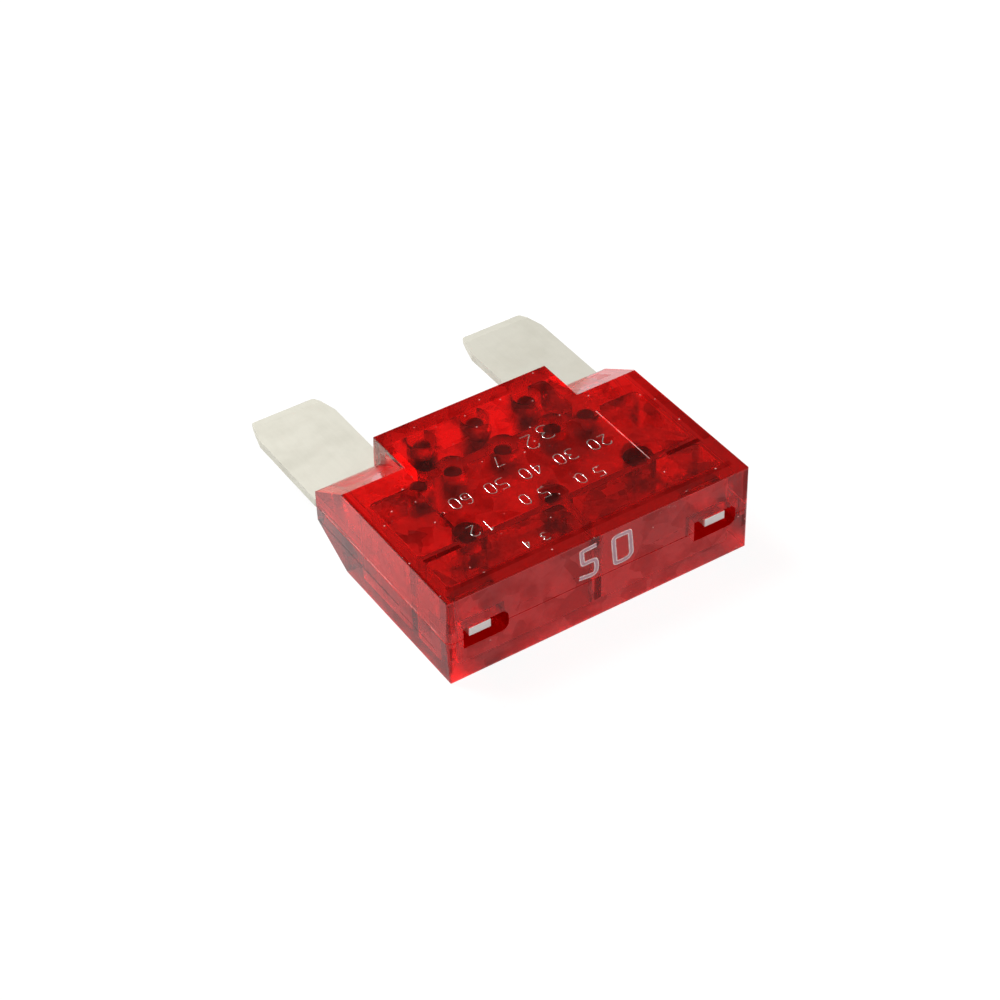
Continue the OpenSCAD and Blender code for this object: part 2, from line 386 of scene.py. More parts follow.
@dataclass(frozen=True)
class Zone:
    """One kind of wall inside the housing, or a patch of its skin, as a box in millimetres.

    Args:
        aside: Range of the distance from the middle plane.
        along: Range along Y.
        height: Range above the table.
        frost: Lowest and highest roughness that the mould leaves there.
        shade: Lowest and highest painted shade, from 0 to 1, which follows the mottle.
        mirror: The same painted shade for reflected light, where that is darker than what passes.
        side: -1 or 1 for a wall on the left or right only, 0 for both.
    """

    aside: Span
    along: Span
    height: Span
    frost: Span = (0.0, 0.0)
    shade: Span = (0.0, 0.0)
    mirror: Span = (0.0, 0.0)
    side: int = 0

    def mask(self, places: Places) -> Socket:
        """Masks the zone.

        The offset from the middle is divided by half the size along each axis. A point lies inside
        where the largest of the three is below one.

        Args:
            places: The material's coordinates.

        Returns:
            1 in the zone and 0 elsewhere.
        """
        graph = places.graph
        low, high = np.array([self.aside, self.along, self.height]).T * MM
        middle, half = (low + high) / 2, (high - low) / 2
        if self.side:
            middle[0] *= self.side
        place = places.plain if self.side else places.folded
        inputs = {0: place, 1: tuple(1 / half), 2: tuple(-middle / half)}
        offset = graph.add("VectorMath", inputs, operation="MULTIPLY_ADD").outputs[0]
        offset = graph.add("VectorMath", {0: offset}, operation="ABSOLUTE").outputs[0]
        parts = graph.parts(offset)
        largest = graph.math("MAXIMUM", graph.math("MAXIMUM", parts["X"], parts["Y"]), parts["Z"])
        return graph.math("LESS_THAN", largest, 1.0)


# Boxes where the mould leaves other roughness, and where shade is painted: shade darkens the colour that
# passes through a face, mirror the light it reflects.
ZONES = (
    # Walls of the pockets inside
    Zone((0, 13.25), (-14.7, 3.4), (0.8, 7.5), frost=(0.2, 0.4)),
    Zone((13.2, 13.4), (-14.7, -2.3), (0.8, 7.7), frost=(0.1, 0.25)),
    Zone((0, 13.3), (-14.7, -14.4), (0.8, 7.7), frost=(0.35, 0.5), mirror=(0.0, 0.4)),
    Zone((13.2, 13.4), (-14.6, -2.3), (0.8, 7.7), mirror=(0.3, 0.6), side=1),
    Zone((13.2, 13.4), (-14.6, -2.3), (5.9, 7.7), shade=(0.6, 0.7), side=1),
    Zone((0, 13.4), (3.2, 3.4), (0.8, 7.7), mirror=(0.4, 0.9)),
    Zone((7.7, 7.9), (-1.8, 3.4), (0.8, 7.7), mirror=(0.4, 0.9)),
    Zone((0, 8.8), (-10.35, -2.35), (7.1, 7.3), frost=(0.3, 0.4), shade=(0.2, 0.4)),
    Zone((8.8, 13.1), (-10.35, -2.35), (7.5, 7.7), frost=(0.1, 0.2), shade=(0.15, 0.8)),
    Zone((0, 13.1), (-14.4, -10.95), (7.5, 7.7), frost=(0.05, 0.2), shade=(0.0, 0.8)),
    Zone((0, 7.8), (-1.75, 3.35), (7.5, 7.7), frost=(0.08, 0.25), shade=(0.0, 0.9)),
    Zone((8.8, 13.4), (-16.5, -13.0), (3.2, 5.3), frost=(0.2, 0.3), shade=(0.85, 0.9)),
    # Underside and end face
    Zone((0, 14.6), (-16.6, 4.6), (-0.1, 0.1), frost=(0.5, 0.7)),
    Zone((0, 14.7), END_FACE, (0.2, 8.3), shade=(0.0, 0.5)),
    Zone((0.2, 0.85), END_FACE, (1.9, 4.2), shade=(0.9, 1.0), side=-1),
    Zone((13.9, 14.5), END_FACE, (5.3, 8.3), shade=(0.6, 0.9)),
    Zone((13.9, 14.5), END_FACE, (2.5, 3.8), shade=(0.7, 1.0)),
    # Upper large face
    Zone((0, 13.3), (-10.7, 3.4), TOP_FACE, shade=(-0.15, 0.55)),
    Zone((14.25, 14.7), (-15.5, 0.5), TOP_FACE, shade=(0.5, 0.6), side=-1),
    Zone((13.6, 14.3), (-11.5, 0), TOP_FACE, shade=(0.5, 0.7), side=1),
    Zone((8.6, 11.6), (-11.0, -1.5), TOP_FACE, shade=(0.1, 0.4), side=1),
    Zone((10.0, 13.3), (-11.5, -11.05), TOP_FACE, shade=(0.9, 1.0)),
    Zone((0, 13.6), (-15.4, -14.8), TOP_FACE, shade=(0.3, 0.7)),
    Zone((0, 8.7), (2.9, 4.7), TOP_FACE, shade=(0.3, 0.75)),
    # Sides
    Zone(SIDE_FACE, (-14.0, 3.0), (2.95, 4.2), shade=(0.3, 0.5)),
    Zone(SIDE_FACE, (-9.0, 3.8), (2.7, 2.95), shade=(0.8, 1.0)),
    Zone(SIDE_FACE, (-14.2, -9.0), (2.15, 2.35), shade=(0.6, 0.9)),
    Zone(SIDE_FACE, (-16.0, 3.8), (0.3, 2.7), shade=(0.0, 0.4)),
)
CLEAR = (
    Zone((0.5, 2.3), (0.7, 2.0), (7.4, 8.6), side=1),
    Zone((1.8, 4.3), (0.1, 1.8), (7.4, 8.6), side=-1),
    Zone((3.2, 5.2), (-12.5, -11.6), (7.4, 8.6), side=1),
    Zone((2.8, 5.0), (-12.5, -11.8), (7.4, 8.6), side=-1),
    Zone((0, 13.6), (-16.3, -15.5), TOP_FACE, side=-1),
)


@dataclass(frozen=True)
class SharedNoises:
    """Noises that the plastic's masks share, each about 0 to 1.

    Args:
        waves: Slow waves of the skin.
        cloud: Finer cloud noise.
        flow: Mottle that sets how deep the painted shade is.
        specks: Small specks, strewn everywhere.
    """

    waves: Socket
    cloud: Socket
    flow: Socket
    specks: Socket


@dataclass(frozen=True)
class ClearPlastic:
    """Moulded clear plastic with colour all through it.

    Args:
        name: Name of the material.
        clean: Colour of its untouched skin.
        veil: Colour of the skin's smudges.
        body_colour: Light that passes through the body, for absorption.
        density: Absorption per metre.
        ior: Refractive index.
        polish: Lowest and highest roughness of the outer skin.
        ripple: Depth of the slow waves in metres.
        bump: Strength of the bumps.
        touched: Height of the handling marks beside the waves.
        mark_scale: Handling marks per metre.
        wave_scale: Slow waves per metre.
        cloud_scale: Clouds per metre.
        cell_scale: Cells of the painted shade's mottle per metre.
        speck_scale: Places for specks per metre.
        speck_share: How many of them carry one.
        speck_reach: Radius of a speck and of its soft edge, as a share of their spacing.
        speck_cover: How much of the plastic a speck hides.
        pull: How far the waves pull the mottle's cells aside, in metres.
        clouded: Cloud noise between which its effect goes from none to full.
        frosted: Cloud noise between which frost goes from low to high.
        mottle_span: Mottle between which the painted shade goes from low to high.
        seam: Height of the weld in metres.
        seam_gap: Thickness of the welded layer in metres.
        zones: Walls inside and patches of skin that differ from the rest.
        core: Room of the walls inside, which are less even than the skin.
        core_ripple: How many times deeper the waves are there.
        clear: Patches that no shade darkens.
        painted_light_patch: Upper part of the sides, where light from inside is painted on as a matte red.
        painted_light_share: How much of the skin there is matte.
        painted_light_colour: Colour of that painted light.
        highlight_lines: Two thin lines of painted highlight on the skin.
        highlight_broken: Cloud noise between which they go from faint to bold.
        highlight_cover: Least and most of the plastic that they hide.
        highlight_and_speck_colour: Pale matte colour of the painted highlights and of the specks.
        skin: Distance aside, place along Y and height in millimetres past which the skin lies.
        pins: Places of the locating pins in millimetres, with X as a distance from the middle.
        pin_reach: Distances in metres from a pin's axis between which the painted shade fades out.
        pin_edge: How far in metres noise moves that edge.
        pin_height: Heights in metres between which shade is painted there.
        pin_frost: Roughness there.
        shade_colour: Colour of the painted shade, for passing and reflected light, at the pins and where the
            zones' shade is deepest.
        let_through: Colour that a lamp's light has past one face.
    """

    name: str = "clear_red_plastic"
    clean: Colour = (1.0, 0.97, 0.97, 1.0)
    veil: Colour = (1.0, 0.86, 0.86, 1.0)
    body_colour: Colour = (0.99, 0.0, 0.08, 1.0)
    density: float = 3000.0
    ior: float = 1.58
    polish: Span = (0.015, 0.05)
    ripple: float = 0.05 * MM
    bump: float = 0.35
    touched: float = 0.25
    mark_scale: float = 700.0
    wave_scale: float = 380.0
    cloud_scale: float = 520.0
    cell_scale: float = 560.0
    speck_scale: float = 1400.0
    speck_share: float = 0.18
    speck_reach: Span = (0.06, 0.13)
    speck_cover: float = 0.75
    pull: float = 1.2 * MM
    clouded: Span = (0.3, 0.7)
    frosted: Span = (0.35, 0.65)
    mottle_span: Span = (0.35, 0.75)
    seam: float = 4.25 * MM
    seam_gap: float = 0.06 * MM
    zones: tuple[Zone, ...] = ZONES
    core: Zone = Zone((0, 13.45), (-14.75, 3.45), (0.75, 7.75))
    core_ripple: float = 6.0
    clear: tuple[Zone, ...] = CLEAR
    painted_light_patch: Zone = Zone(SIDE_FACE, (-16.3, 4.5), (4.3, 8.4))
    painted_light_share: float = 0.3
    painted_light_colour: Colour = (0.8, 0.1, 0.1, 1.0)
    highlight_lines: tuple[Zone, ...] = (
        Zone((8.47, 8.54), (-10.95, -3.3), TOP_FACE, side=1),
        Zone((14.5, 14.7), (-15.9, 3.0), (4.32, 4.4)),
    )
    highlight_broken: Span = (0.4, 0.55)
    highlight_cover: Span = (0.15, 0.8)
    highlight_and_speck_colour: Colour = (0.9, 0.5, 0.48, 1.0)
    skin: Triple = (14.3, -16.3, 8.4)
    pins: tuple[Span, ...] = (
        (8.275, -9.0), (8.275, -2.05), (0.0, -9.0), (0.0, -2.05), (4.9, -2.05), (5.2, 2.3), (0.0, 2.3),
    )
    pin_reach: Span = (0.9 * MM, 1.5 * MM)
    pin_edge: float = 0.5 * MM
    pin_height: Span = (4.4 * MM, 8.2 * MM)
    pin_frost: float = 0.35
    shade_colour: Colour = (0.13, 0.05, 0.05, 1.0)
    let_through: Colour = (0.55, 0.2, 0.2, 1.0)

    def shared_noises(self, places: Places) -> SharedNoises:
        """Adds the noises that the masks share.

        The mottle of the painted shade is half a number drawn per cell and half cloud noise. The
        waves pull the cells out of shape. Specks lie at the middles of some finer cells.

        Args:
            places: The material's coordinates.

        Returns:
            The noises.
        """
        graph = places.graph
        waves = graph.noise(places.plain, self.wave_scale, 1.0)
        inputs = {0: waves["Color"], 1: (self.pull, self.pull, 0.0), 2: places.plain}
        pulled = graph.add("VectorMath", inputs, operation="MULTIPLY_ADD").outputs[0]
        cells = graph.add("TexVoronoi", {"Vector": pulled, "Scale": self.cell_scale}).outputs
        number = graph.parts(cells["Color"])["X"]
        cloud = graph.noise(places.plain, self.cloud_scale, 3.0)["Fac"]
        flow = graph.times(number, 0.5)
        flow = graph.math("ADD", flow, graph.ramp(cloud, self.clouded, (0.0, 0.5)))
        strewn = graph.add("TexVoronoi", {"Vector": places.plain, "Scale": self.speck_scale}).outputs
        drawn = graph.parts(strewn["Color"])["X"]
        chosen = graph.math("GREATER_THAN", drawn, 1.0 - self.speck_share)
        speck = graph.ramp(strewn["Distance"], self.speck_reach, (self.speck_cover, 0.0))
        specks = graph.times(speck, chosen)
        return SharedNoises(waves["Fac"], cloud, flow, specks)

    def near_pins(self, places: Places, cloud: Socket) -> Socket:
        """Masks the plastic round the locating pins.

        The distance to each pin's axis is the root of the squared offsets along X and Y. The
        smallest of these, which the noise makes longer or shorter, is turned into a share.

        Args:
            places: The material's coordinates.
            cloud: Noise that makes the edge uneven.

        Returns:
            1 at a pin, where shade is painted, 0 away from all of them.
        """
        graph = places.graph
        nearest: Fed = 1.0
        for across, along in self.pins:
            offset = graph.add("CombineXYZ", {
                "X": graph.math("SUBTRACT", places.aside, across * MM),
                "Y": graph.math("SUBTRACT", places.along, along * MM),
            }).outputs[0]
            distance = graph.add("VectorMath", {0: offset}, operation="LENGTH").outputs["Value"]
            nearest = graph.math("MINIMUM", nearest, distance)
        moved = graph.ramp(cloud, self.clouded, (-self.pin_edge, self.pin_edge))
        near = graph.ramp(graph.math("ADD", nearest, moved), self.pin_reach, (1.0, 0.0))
        return graph.times(near, places.layer(*self.pin_height))

    def worn(self, places: Places, marks: SharedNoises) -> Socket:
        """Masks the scuffs and the specks of the outer skin.

        Args:
            places: The material's coordinates.
            marks: The shared noises.

        Returns:
            How much of the skin the pale specks and the painted highlight lines cover, from 0 to 1.
        """
        graph = places.graph
        aside, along, height = self.skin
        outer = graph.math("MAXIMUM", graph.math("GREATER_THAN", places.height, height * MM),
                           graph.math("LESS_THAN", places.along, along * MM))
        outer = graph.math("MAXIMUM", outer, graph.math("GREATER_THAN", places.aside, aside * MM))
        worn = graph.times(marks.specks, outer)
        # Lines of painted highlight, broken by the cloud noise.
        broken = graph.ramp(marks.cloud, self.highlight_broken, self.highlight_cover)
        for zone in self.highlight_lines:
            worn = graph.math("MAXIMUM", worn, graph.times(zone.mask(places), broken))
        return worn

    def walls(self, places: Places, marks: SharedNoises, roughness: Socket) -> tuple[Socket, Socket, Socket]:
        """Adds what each zone does to the plastic.

        Args:
            places: The material's coordinates.
            marks: The shared noises.
            roughness: Roughness of the plain skin.

        Returns:
            The roughness, and how far painted shade darkens passing light and reflected light.
        """
        graph = places.graph
        painted_shade: Fed = 0.0
        reflected: Fed = 0.0
        for zone in self.zones:
            mask = zone.mask(places)
            if any(zone.frost):
                frost = graph.ramp(marks.cloud, self.frosted, zone.frost)
                roughness = graph.math("MAXIMUM", roughness, graph.times(mask, frost))
            if any(zone.shade):
                shade = graph.times(graph.ramp(marks.flow, self.mottle_span, zone.shade), mask)
                painted_shade = graph.math("MAXIMUM", painted_shade, shade)
            if any(zone.mirror):
                shade = graph.times(graph.ramp(marks.flow, self.mottle_span, zone.mirror), mask)
                reflected = graph.math("MAXIMUM", reflected, shade)
        cleared: Fed = 1.0
        for zone in self.clear:
            cleared = graph.math("SUBTRACT", cleared, zone.mask(places), clamp=True)
        # Round the pins the plastic is rougher and holds painted shade.
        pin = self.near_pins(places, marks.cloud)
        roughness = graph.math("MAXIMUM", roughness, graph.times(pin, self.pin_frost))
        painted_shade = graph.math("MAXIMUM", graph.times(painted_shade, cleared), pin)
        return roughness, painted_shade, graph.math("MAXIMUM", reflected, painted_shade)

    def material(self) -> bpy.types.Material:
        """Builds the material.

        Returns:
            A refracting shader over an absorbing body, which lamps shine straight through.
        """
        material, graph = new_material(self.name)
        places = Places.of(graph)
        marks = self.shared_noises(places)
        handled = graph.handled(places.plain, self.mark_scale)
        plain = graph.ramp(handled["Smudge"], WHOLE, self.polish)
        roughness, painted_shade, reflected = self.walls(places, marks, plain)
        colour = graph.blend(handled["Smudge"], self.clean, self.veil)
        height = graph.math("ADD", marks.waves, graph.times(handled["Height"], self.touched))
        uneven = graph.times(self.core.mask(places), marks.waves)
        height = graph.math("ADD", height, graph.times(uneven, self.core_ripple))
        # Painted shade: Base Color and Specular Tint go towards the shade colour in the zones and round the
        # pins.
        skin = graph.coated({
            "Base Color": graph.blend(painted_shade, colour, self.shade_colour),
            "Specular Tint": graph.blend(reflected, WHITE, self.shade_colour),
            "Roughness": roughness,
            "IOR": self.ior,
            "Transmission Weight": 1.0,
            "Normal": graph.bump(height, self.bump, self.ripple),
        })
        # Painted light: a matte red on the sides' upper part lightens them as if lit from inside.
        painted_light = graph.times(self.painted_light_patch.mask(places), self.painted_light_share)
        skin = graph.mixed(painted_light, skin, graph.matte(self.painted_light_colour))
        # Painted highlight: the two pale lines, with the pale specks, are mixed in as a matte colour.
        skin = graph.mixed(self.worn(places, marks), skin, graph.matte(self.highlight_and_speck_colour))
        passing = graph.add("BsdfTransparent", {"Color": self.let_through}).outputs["BSDF"]
        shadow = graph.add("LightPath").outputs["Is Shadow Ray"]
        skin = graph.mixed(shadow, skin, passing)
        weld = places.layer(self.seam - self.seam_gap / 2, self.seam + self.seam_gap / 2)
        welded = graph.add("BsdfTransparent", {"Color": WHITE}).outputs["BSDF"]
        skin = graph.mixed(weld, skin, welded)
        body = graph.add("VolumeAbsorption", {"Color": self.body_colour, "Density": self.density})
        graph.add("OutputMaterial", {"Surface": skin, "Volume": body.outputs["Volume"]})
        return material


@dataclass(frozen=True)
class PlatedMetal:
    """Stamped metal under a matte plating.

    Args:
        name: Name of the material.
        bright: Colour of the clean plating.
        dull: Colour where handling has dulled it.
        cut: Brighter colour on the tabs' ends, painted light on faces that the lamp doesn't reach.
        cut_end: Place along Y in millimetres before which the tabs' ends lie.
        roughness: Lowest and highest roughness.
        metallic: How much of the colour is the metal's own reflection.
        mark_scale: Handling marks per metre.
        mark_tone: How much the marks dull the colour.
        line_scale: Rolling lines per metre, before they are drawn out.
        line_tone: How much they dull it.
        line_height: Their height beside the grain.
        drawn_out: Squeeze of their noise along each axis.
        grain_scale: Grains per metre.
        relief: Depth of grain and lines in metres.
        bump: Strength of these bumps.
    """

    name: str = "matte_plated_metal"
    bright: Colour = (0.70, 0.685, 0.61, 1.0)
    dull: Colour = (0.60, 0.585, 0.515, 1.0)
    cut: Colour = WHITE
    cut_end: float = -15.9
    roughness: Span = (0.6, 0.75)
    metallic: float = 0.55
    mark_scale: float = 350.0
    mark_tone: float = 0.6
    line_scale: float = 300.0
    line_tone: float = 0.35
    line_height: float = 0.8
    drawn_out: Triple = (14.0, 0.6, 14.0)
    grain_scale: float = 6000.0
    relief: float = 0.006 * MM
    bump: float = 0.25

    def material(self) -> bpy.types.Material:
        """Builds the material.

        Returns:
            A metal with fine grain, faint rolling lines along the blades, dulled smudges and painted light on
            the tabs' ends.
        """
        material, graph = new_material(self.name)
        place = graph.add("TexCoord").outputs["Object"]
        handled = graph.handled(place, self.mark_scale)
        rolled = graph.add("Mapping", {"Vector": place, "Scale": self.drawn_out}).outputs["Vector"]
        lines = graph.noise(rolled, self.line_scale, 3.0)["Fac"]
        grain = graph.noise(place, self.grain_scale, 2.0)["Fac"]
        tone = graph.times(handled["Smudge"], self.mark_tone)
        tone = graph.math("ADD", tone, graph.times(lines, self.line_tone), clamp=True)
        colour = graph.blend(tone, self.bright, self.dull)
        along = graph.parts(place)["Y"]
        # Painted light: the tabs' ends, which face away from the lamp, get a brighter colour.
        cut = graph.math("LESS_THAN", along, self.cut_end * MM)
        colour = graph.blend(cut, colour, self.cut)
        height = graph.math("ADD", grain, graph.times(lines, self.line_height))
        height = graph.math("ADD", height, handled["Height"])
        skin = graph.coated({
            "Base Color": colour,
            "Metallic": self.metallic,
            "Roughness": graph.ramp(tone, WHOLE, self.roughness),
            "Normal": graph.bump(height, self.bump, self.relief),
        })
        graph.add("OutputMaterial", {"Surface": skin})
        return material


@dataclass(frozen=True)
class PrintedInk:
    """Thin pale ink that stands brighter along the edges of each stroke.

    Args:
        name: Name of the material.
        rim: Colour along the edges.
        core: Colour along the middle, where the red below shows through.
        roughness: Roughness along the middle and along the edges.
        rim_reach: Shares of the way across between which the colour goes from core to rim.
        mark_scale: Worn patches per metre.
        wear: How much of the rim's colour a worn patch loses.
        relief: Depth of the wear in metres.
        bump: Strength of its bumps.
    """

    name: str = "pale_rating_ink"
    rim: Colour = (1.0, 0.88, 0.90, 1.0)
    core: Colour = (0.58, 0.34, 0.42, 1.0)
    roughness: Span = (0.55, 0.4)
    rim_reach: Span = (0.35, 0.75)
    mark_scale: float = 2500.0
    wear: float = 0.35
    relief: float = 0.004 * MM
    bump: float = 0.3

    def material(self) -> bpy.types.Material:
        """Builds the material.

        Returns:
            An ink whose colour goes from core to rim across the stroke, with worn patches.
        """
        material, graph = new_material(self.name)
        place = graph.add("TexCoord").outputs["Object"]
        across = graph.add("Attribute", attribute_name="across").outputs["Fac"]
        handled = graph.handled(place, self.mark_scale)
        rim = graph.ramp(graph.math("ABSOLUTE", across), self.rim_reach)
        worn = graph.times(handled["Smudge"], self.wear)
        share = graph.math("SUBTRACT", rim, worn, clamp=True)
        skin = graph.coated({
            "Base Color": graph.blend(share, self.core, self.rim),
            "Roughness": graph.ramp(share, WHOLE, self.roughness),
            "Normal": graph.bump(handled["Height"], self.bump, self.relief),
        })
        graph.add("OutputMaterial", {"Surface": skin})
        return material


@dataclass
class Housing:
    """The two moulded halves.

    Args:
        plastic: Finish of both halves.
    """

    plastic: ClearPlastic = ClearPlastic()

    def dress(self) -> bpy.types.Material:
        """Gives both halves the clear plastic and returns it."""
        finish = self.plastic.material()
        for node in (Node.LOWER, Node.UPPER):
            dress_node(node, finish)
        return finish


@dataclass
class Strip:
    """The stamped strip with its blades, tabs and link.

    Args:
        metal: Finish of the strip.
    """

    metal: PlatedMetal = PlatedMetal()

    def dress(self) -> None:
        """Gives the strip its plated metal."""
        dress_node(Node.STRIP, self.metal.material())


@dataclass
class RatingPrint:
    """The printed rating on the end face, in millimetres from the middle and from the rest plane.

    Args:
        stroke: Width of a stroke.
        film: Thickness of the ink.
        rim: How much thicker the ink stands along its edges.
        draft: How far the end face leans back over half the thickness.
        figures: Name of each figure, whether its centre line closes, and the line's corners.
        ink: Finish of the figures.
    """

    stroke: float = 0.44
    film: float = 0.012
    rim: float = 0.012
    draft: float = 0.1
    figures: tuple[tuple[str, bool, tuple[Span, ...]], ...] = (
        ("print_five", False, (
            (-0.60, 7.68), (-2.01, 7.62), (-2.03, 7.46), (-1.96, 6.36), (-1.86, 6.26), (-0.93, 6.3),
            (-0.64, 6.11), (-0.61, 5.15), (-0.91, 4.78), (-2.31, 4.96),
        )),
        ("print_nought", True, (
            (1.02, 7.22), (1.05, 7.42), (1.25, 7.58), (2.52, 7.55), (2.64, 7.47), (2.76, 5.42),
            (2.74, 5.22), (2.38, 4.87), (1.38, 4.85), (1.21, 4.92), (1.17, 5.07),
        )),
    )
    ink: PrintedInk = PrintedInk()

    def profile(self) -> np.ndarray:
        """Flat stroke whose two edges stand a little proud, anticlockwise seen along the stroke."""
        half, proud = self.stroke / 2, self.film + self.rim
        places = np.array([1.0, 0.92, 0.6, 0.0, -0.6, -0.92, -1.0]) * half
        heights = np.array([0.0, proud, self.film, self.film, self.film, proud, 0.0])
        return np.stack([places, heights], axis=1) * MM

    def build(self) -> None:
        """Prints every figure on the leaning end face."""
        finish = self.ink.material()
        low, high = upper_box()
        lean = self.draft / ((high[2] - low[2]) / MM)
        for name, closed, corners in self.figures:
            line = softened(np.array(corners), closed)
            depth = low[1] / MM + lean * (line[:, 1] - low[2] / MM)
            path = np.stack([line[:, 0], depth, line[:, 1]], axis=1) * MM
            make_piece(name, carried(path, self.profile(), TOWARDS_END, closed), finish)


def dome(middle: np.ndarray, radius: float, relief: float, rings: int = 5, sides: int = 24) -> Surface:
    """Makes a low round dome with a flat foot.

    The distance from the axis is the radius times the sine of an angle, and the height is the
    relief times its cosine, so that the crown is round and the rim stands square.

    Args:
        middle: Middle of the foot in metres.
        radius: Radius of the foot in metres.
        relief: Height of the crown in metres.
        rings: Rings from rim to crown.
        sides: Points on each ring.

    Returns:
        The closed surface.
    """
    rise = np.linspace(np.pi / 2, 0.0, rings + 1)[:-1]
    turn = np.linspace(0.0, 2 * np.pi, sides, endpoint=False)
    reach = radius * np.sin(rise)[:, None]
    level = np.broadcast_to(relief * np.cos(rise)[:, None], (rings, sides))
    points = np.stack([reach * np.cos(turn), reach * np.sin(turn), level], axis=-1).reshape(-1, 3)
    points = np.vstack([points, [[0.0, 0.0, relief]]]) + middle
    ring, place = np.meshgrid(np.arange(rings - 1), np.arange(sides), indexing="ij")
    start, above, beside = ring * sides, (ring + 1) * sides, (place + 1) % sides
    quads = np.stack([start + place, start + beside, above + beside, above + place], axis=-1)
    last = (rings - 1) * sides
    caps = [[last + side, last + (side + 1) % sides, rings * sides] for side in range(sides)]
    foot = [list(range(sides))[::-1]]
    return Surface(points, quads.reshape(-1, 4).tolist() + caps + foot, np.zeros(len(points)))


# Centre lines of the raised figures in a box one wide and one high, and whether they close
FIGURES: dict[str, tuple[bool, tuple[Span, ...]]] = {
    "0": (True, (
        (0, 0.2), (0, 0.8), (0.25, 1), (0.75, 1), (1, 0.8), (1, 0.2), (0.75, 0), (0.25, 0),
    )),
    "1": (False, ((0.2, 0.78), (0.5, 1), (0.52, 0.98), (0.5, 0))),
    "2": (False, (
        (0, 0.8), (0.2, 1), (0.8, 1), (1, 0.8), (1, 0.6), (0.1, 0.06), (0.05, 0), (0.2, 0), (1, 0),
    )),
    "3": (False, (
        (0, 0.9), (0.2, 1), (0.8, 1), (1, 0.8), (0.9, 0.56), (0.45, 0.52),
        (0.9, 0.46), (1, 0.2), (0.8, 0), (0.2, 0), (0, 0.1),
    )),
    "4": (False, ((0.75, 0), (0.75, 0.95), (0.7, 1), (0, 0.35), (0.05, 0.28), (1, 0.28))),
    "5": (False, (
        (1, 1), (0.1, 1), (0.02, 0.95), (0, 0.56), (0.8, 0.58), (1, 0.4), (1, 0.18), (0.8, 0), (0, 0.02),
    )),
    "6": (False, (
        (0.9, 0.95), (0.7, 1), (0.3, 1), (0, 0.7), (0, 0.2), (0.2, 0),
        (0.8, 0), (1, 0.2), (1, 0.4), (0.8, 0.56), (0.2, 0.56), (0, 0.4),
    )),
    "7": (False, ((0, 1), (0.95, 1), (1, 0.94), (0.35, 0))),
}


@dataclass(frozen=True)
class Row:
    """One row of raised figures, in millimetres from the middle and from the end face.

    Args:
        figures: The plain figures, a space for a gap.
        start: Middle of the first figure.
        end: Middle of the last figure.
        height: Height of a figure.
    """

    figures: str
    start: Span
    end: Span
    height: float


@dataclass
class RaisedFigures:
    """Plain figures and a gate mark moulded on the upper large face, read from the blades' side.

    Args:
        stroke: Width of a raised line in millimetres.
        relief: Height of a raised line in millimetres.
        sunk: How far its foot goes into the face, in millimetres.
        narrow: Width of a figure as a share of its height.
        rows: The rows of figures.
        gate: Place of the gate's nub, like that of a row.
        gate_radius: Its radius in millimetres.
        gate_relief: Its height in millimetres.
    """

    stroke: float = 0.08
    relief: float = 0.03
    sunk: float = 0.01
    narrow: float = 0.55
    rows: tuple[Row, ...] = (
        Row("50 50", (4.21, 6.6), (-2.69, 7.07), 1.25),
        Row("20 30 40 50 60", (6.91, 9.67), (-7.58, 9.83), 1.35),
        Row("32", (3.42, 13.33), (1.72, 12.92), 1.8),
        Row("7", (-1.88, 12.32), (-1.88, 12.32), 1.2),
        Row("12", (-6.88, 6.07), (-8.18, 6.17), 1.3),
        Row("34", (-3.89, 2.42), (-5.59, 2.42), 0.9),
    )
    gate: Span = (-9.04, 9.31)
    gate_radius: float = 0.22
    gate_relief: float = 0.09

    def build(self, finish: bpy.types.Material) -> None:
        """Raises every row as one piece.

        Args:
            finish: The housing's own plastic.
        """
        profile = dome_profile(self.stroke * MM, self.relief * MM, self.sunk * MM)
        for number, row in enumerate(self.rows, start=1):
            parts = [carried(line, profile, UP, closed) for line, closed in self.lines(row)]
            make_piece(f"raised_row_{number}", joined(parts), finish)

        low, high = upper_box()
        foot = np.array([*self.gate, -self.sunk]) * MM + (0.0, low[1], high[2])
        make_piece("gate_nub", dome(foot, self.gate_radius * MM, self.gate_relief * MM), finish)

    def lines(self, row: Row) -> list[tuple[np.ndarray, bool]]:
        """Places the lines of one row on the upper face.

        A figure's x runs towards -X and its y towards -Y, as the row reads from the other side.

        Args:
            row: The row of figures.

        Returns:
            Each figure's path in metres, and whether it closes.
        """
        low, high = upper_box()
        middles = np.linspace(row.start, row.end, max(len(row.figures), 2))
        width = row.height * self.narrow
        placed = []
        for figure, middle in zip(row.figures, middles):
            if figure == " ":
                continue
            closed, corners = FIGURES[figure]
            line = (softened(np.array(corners, float), closed) - 0.5) * (-width, -row.height)
            path = np.column_stack([line + middle, np.zeros(len(line))]) * MM
            placed.append((path + (0.0, low[1], high[2]), closed))
        return placed


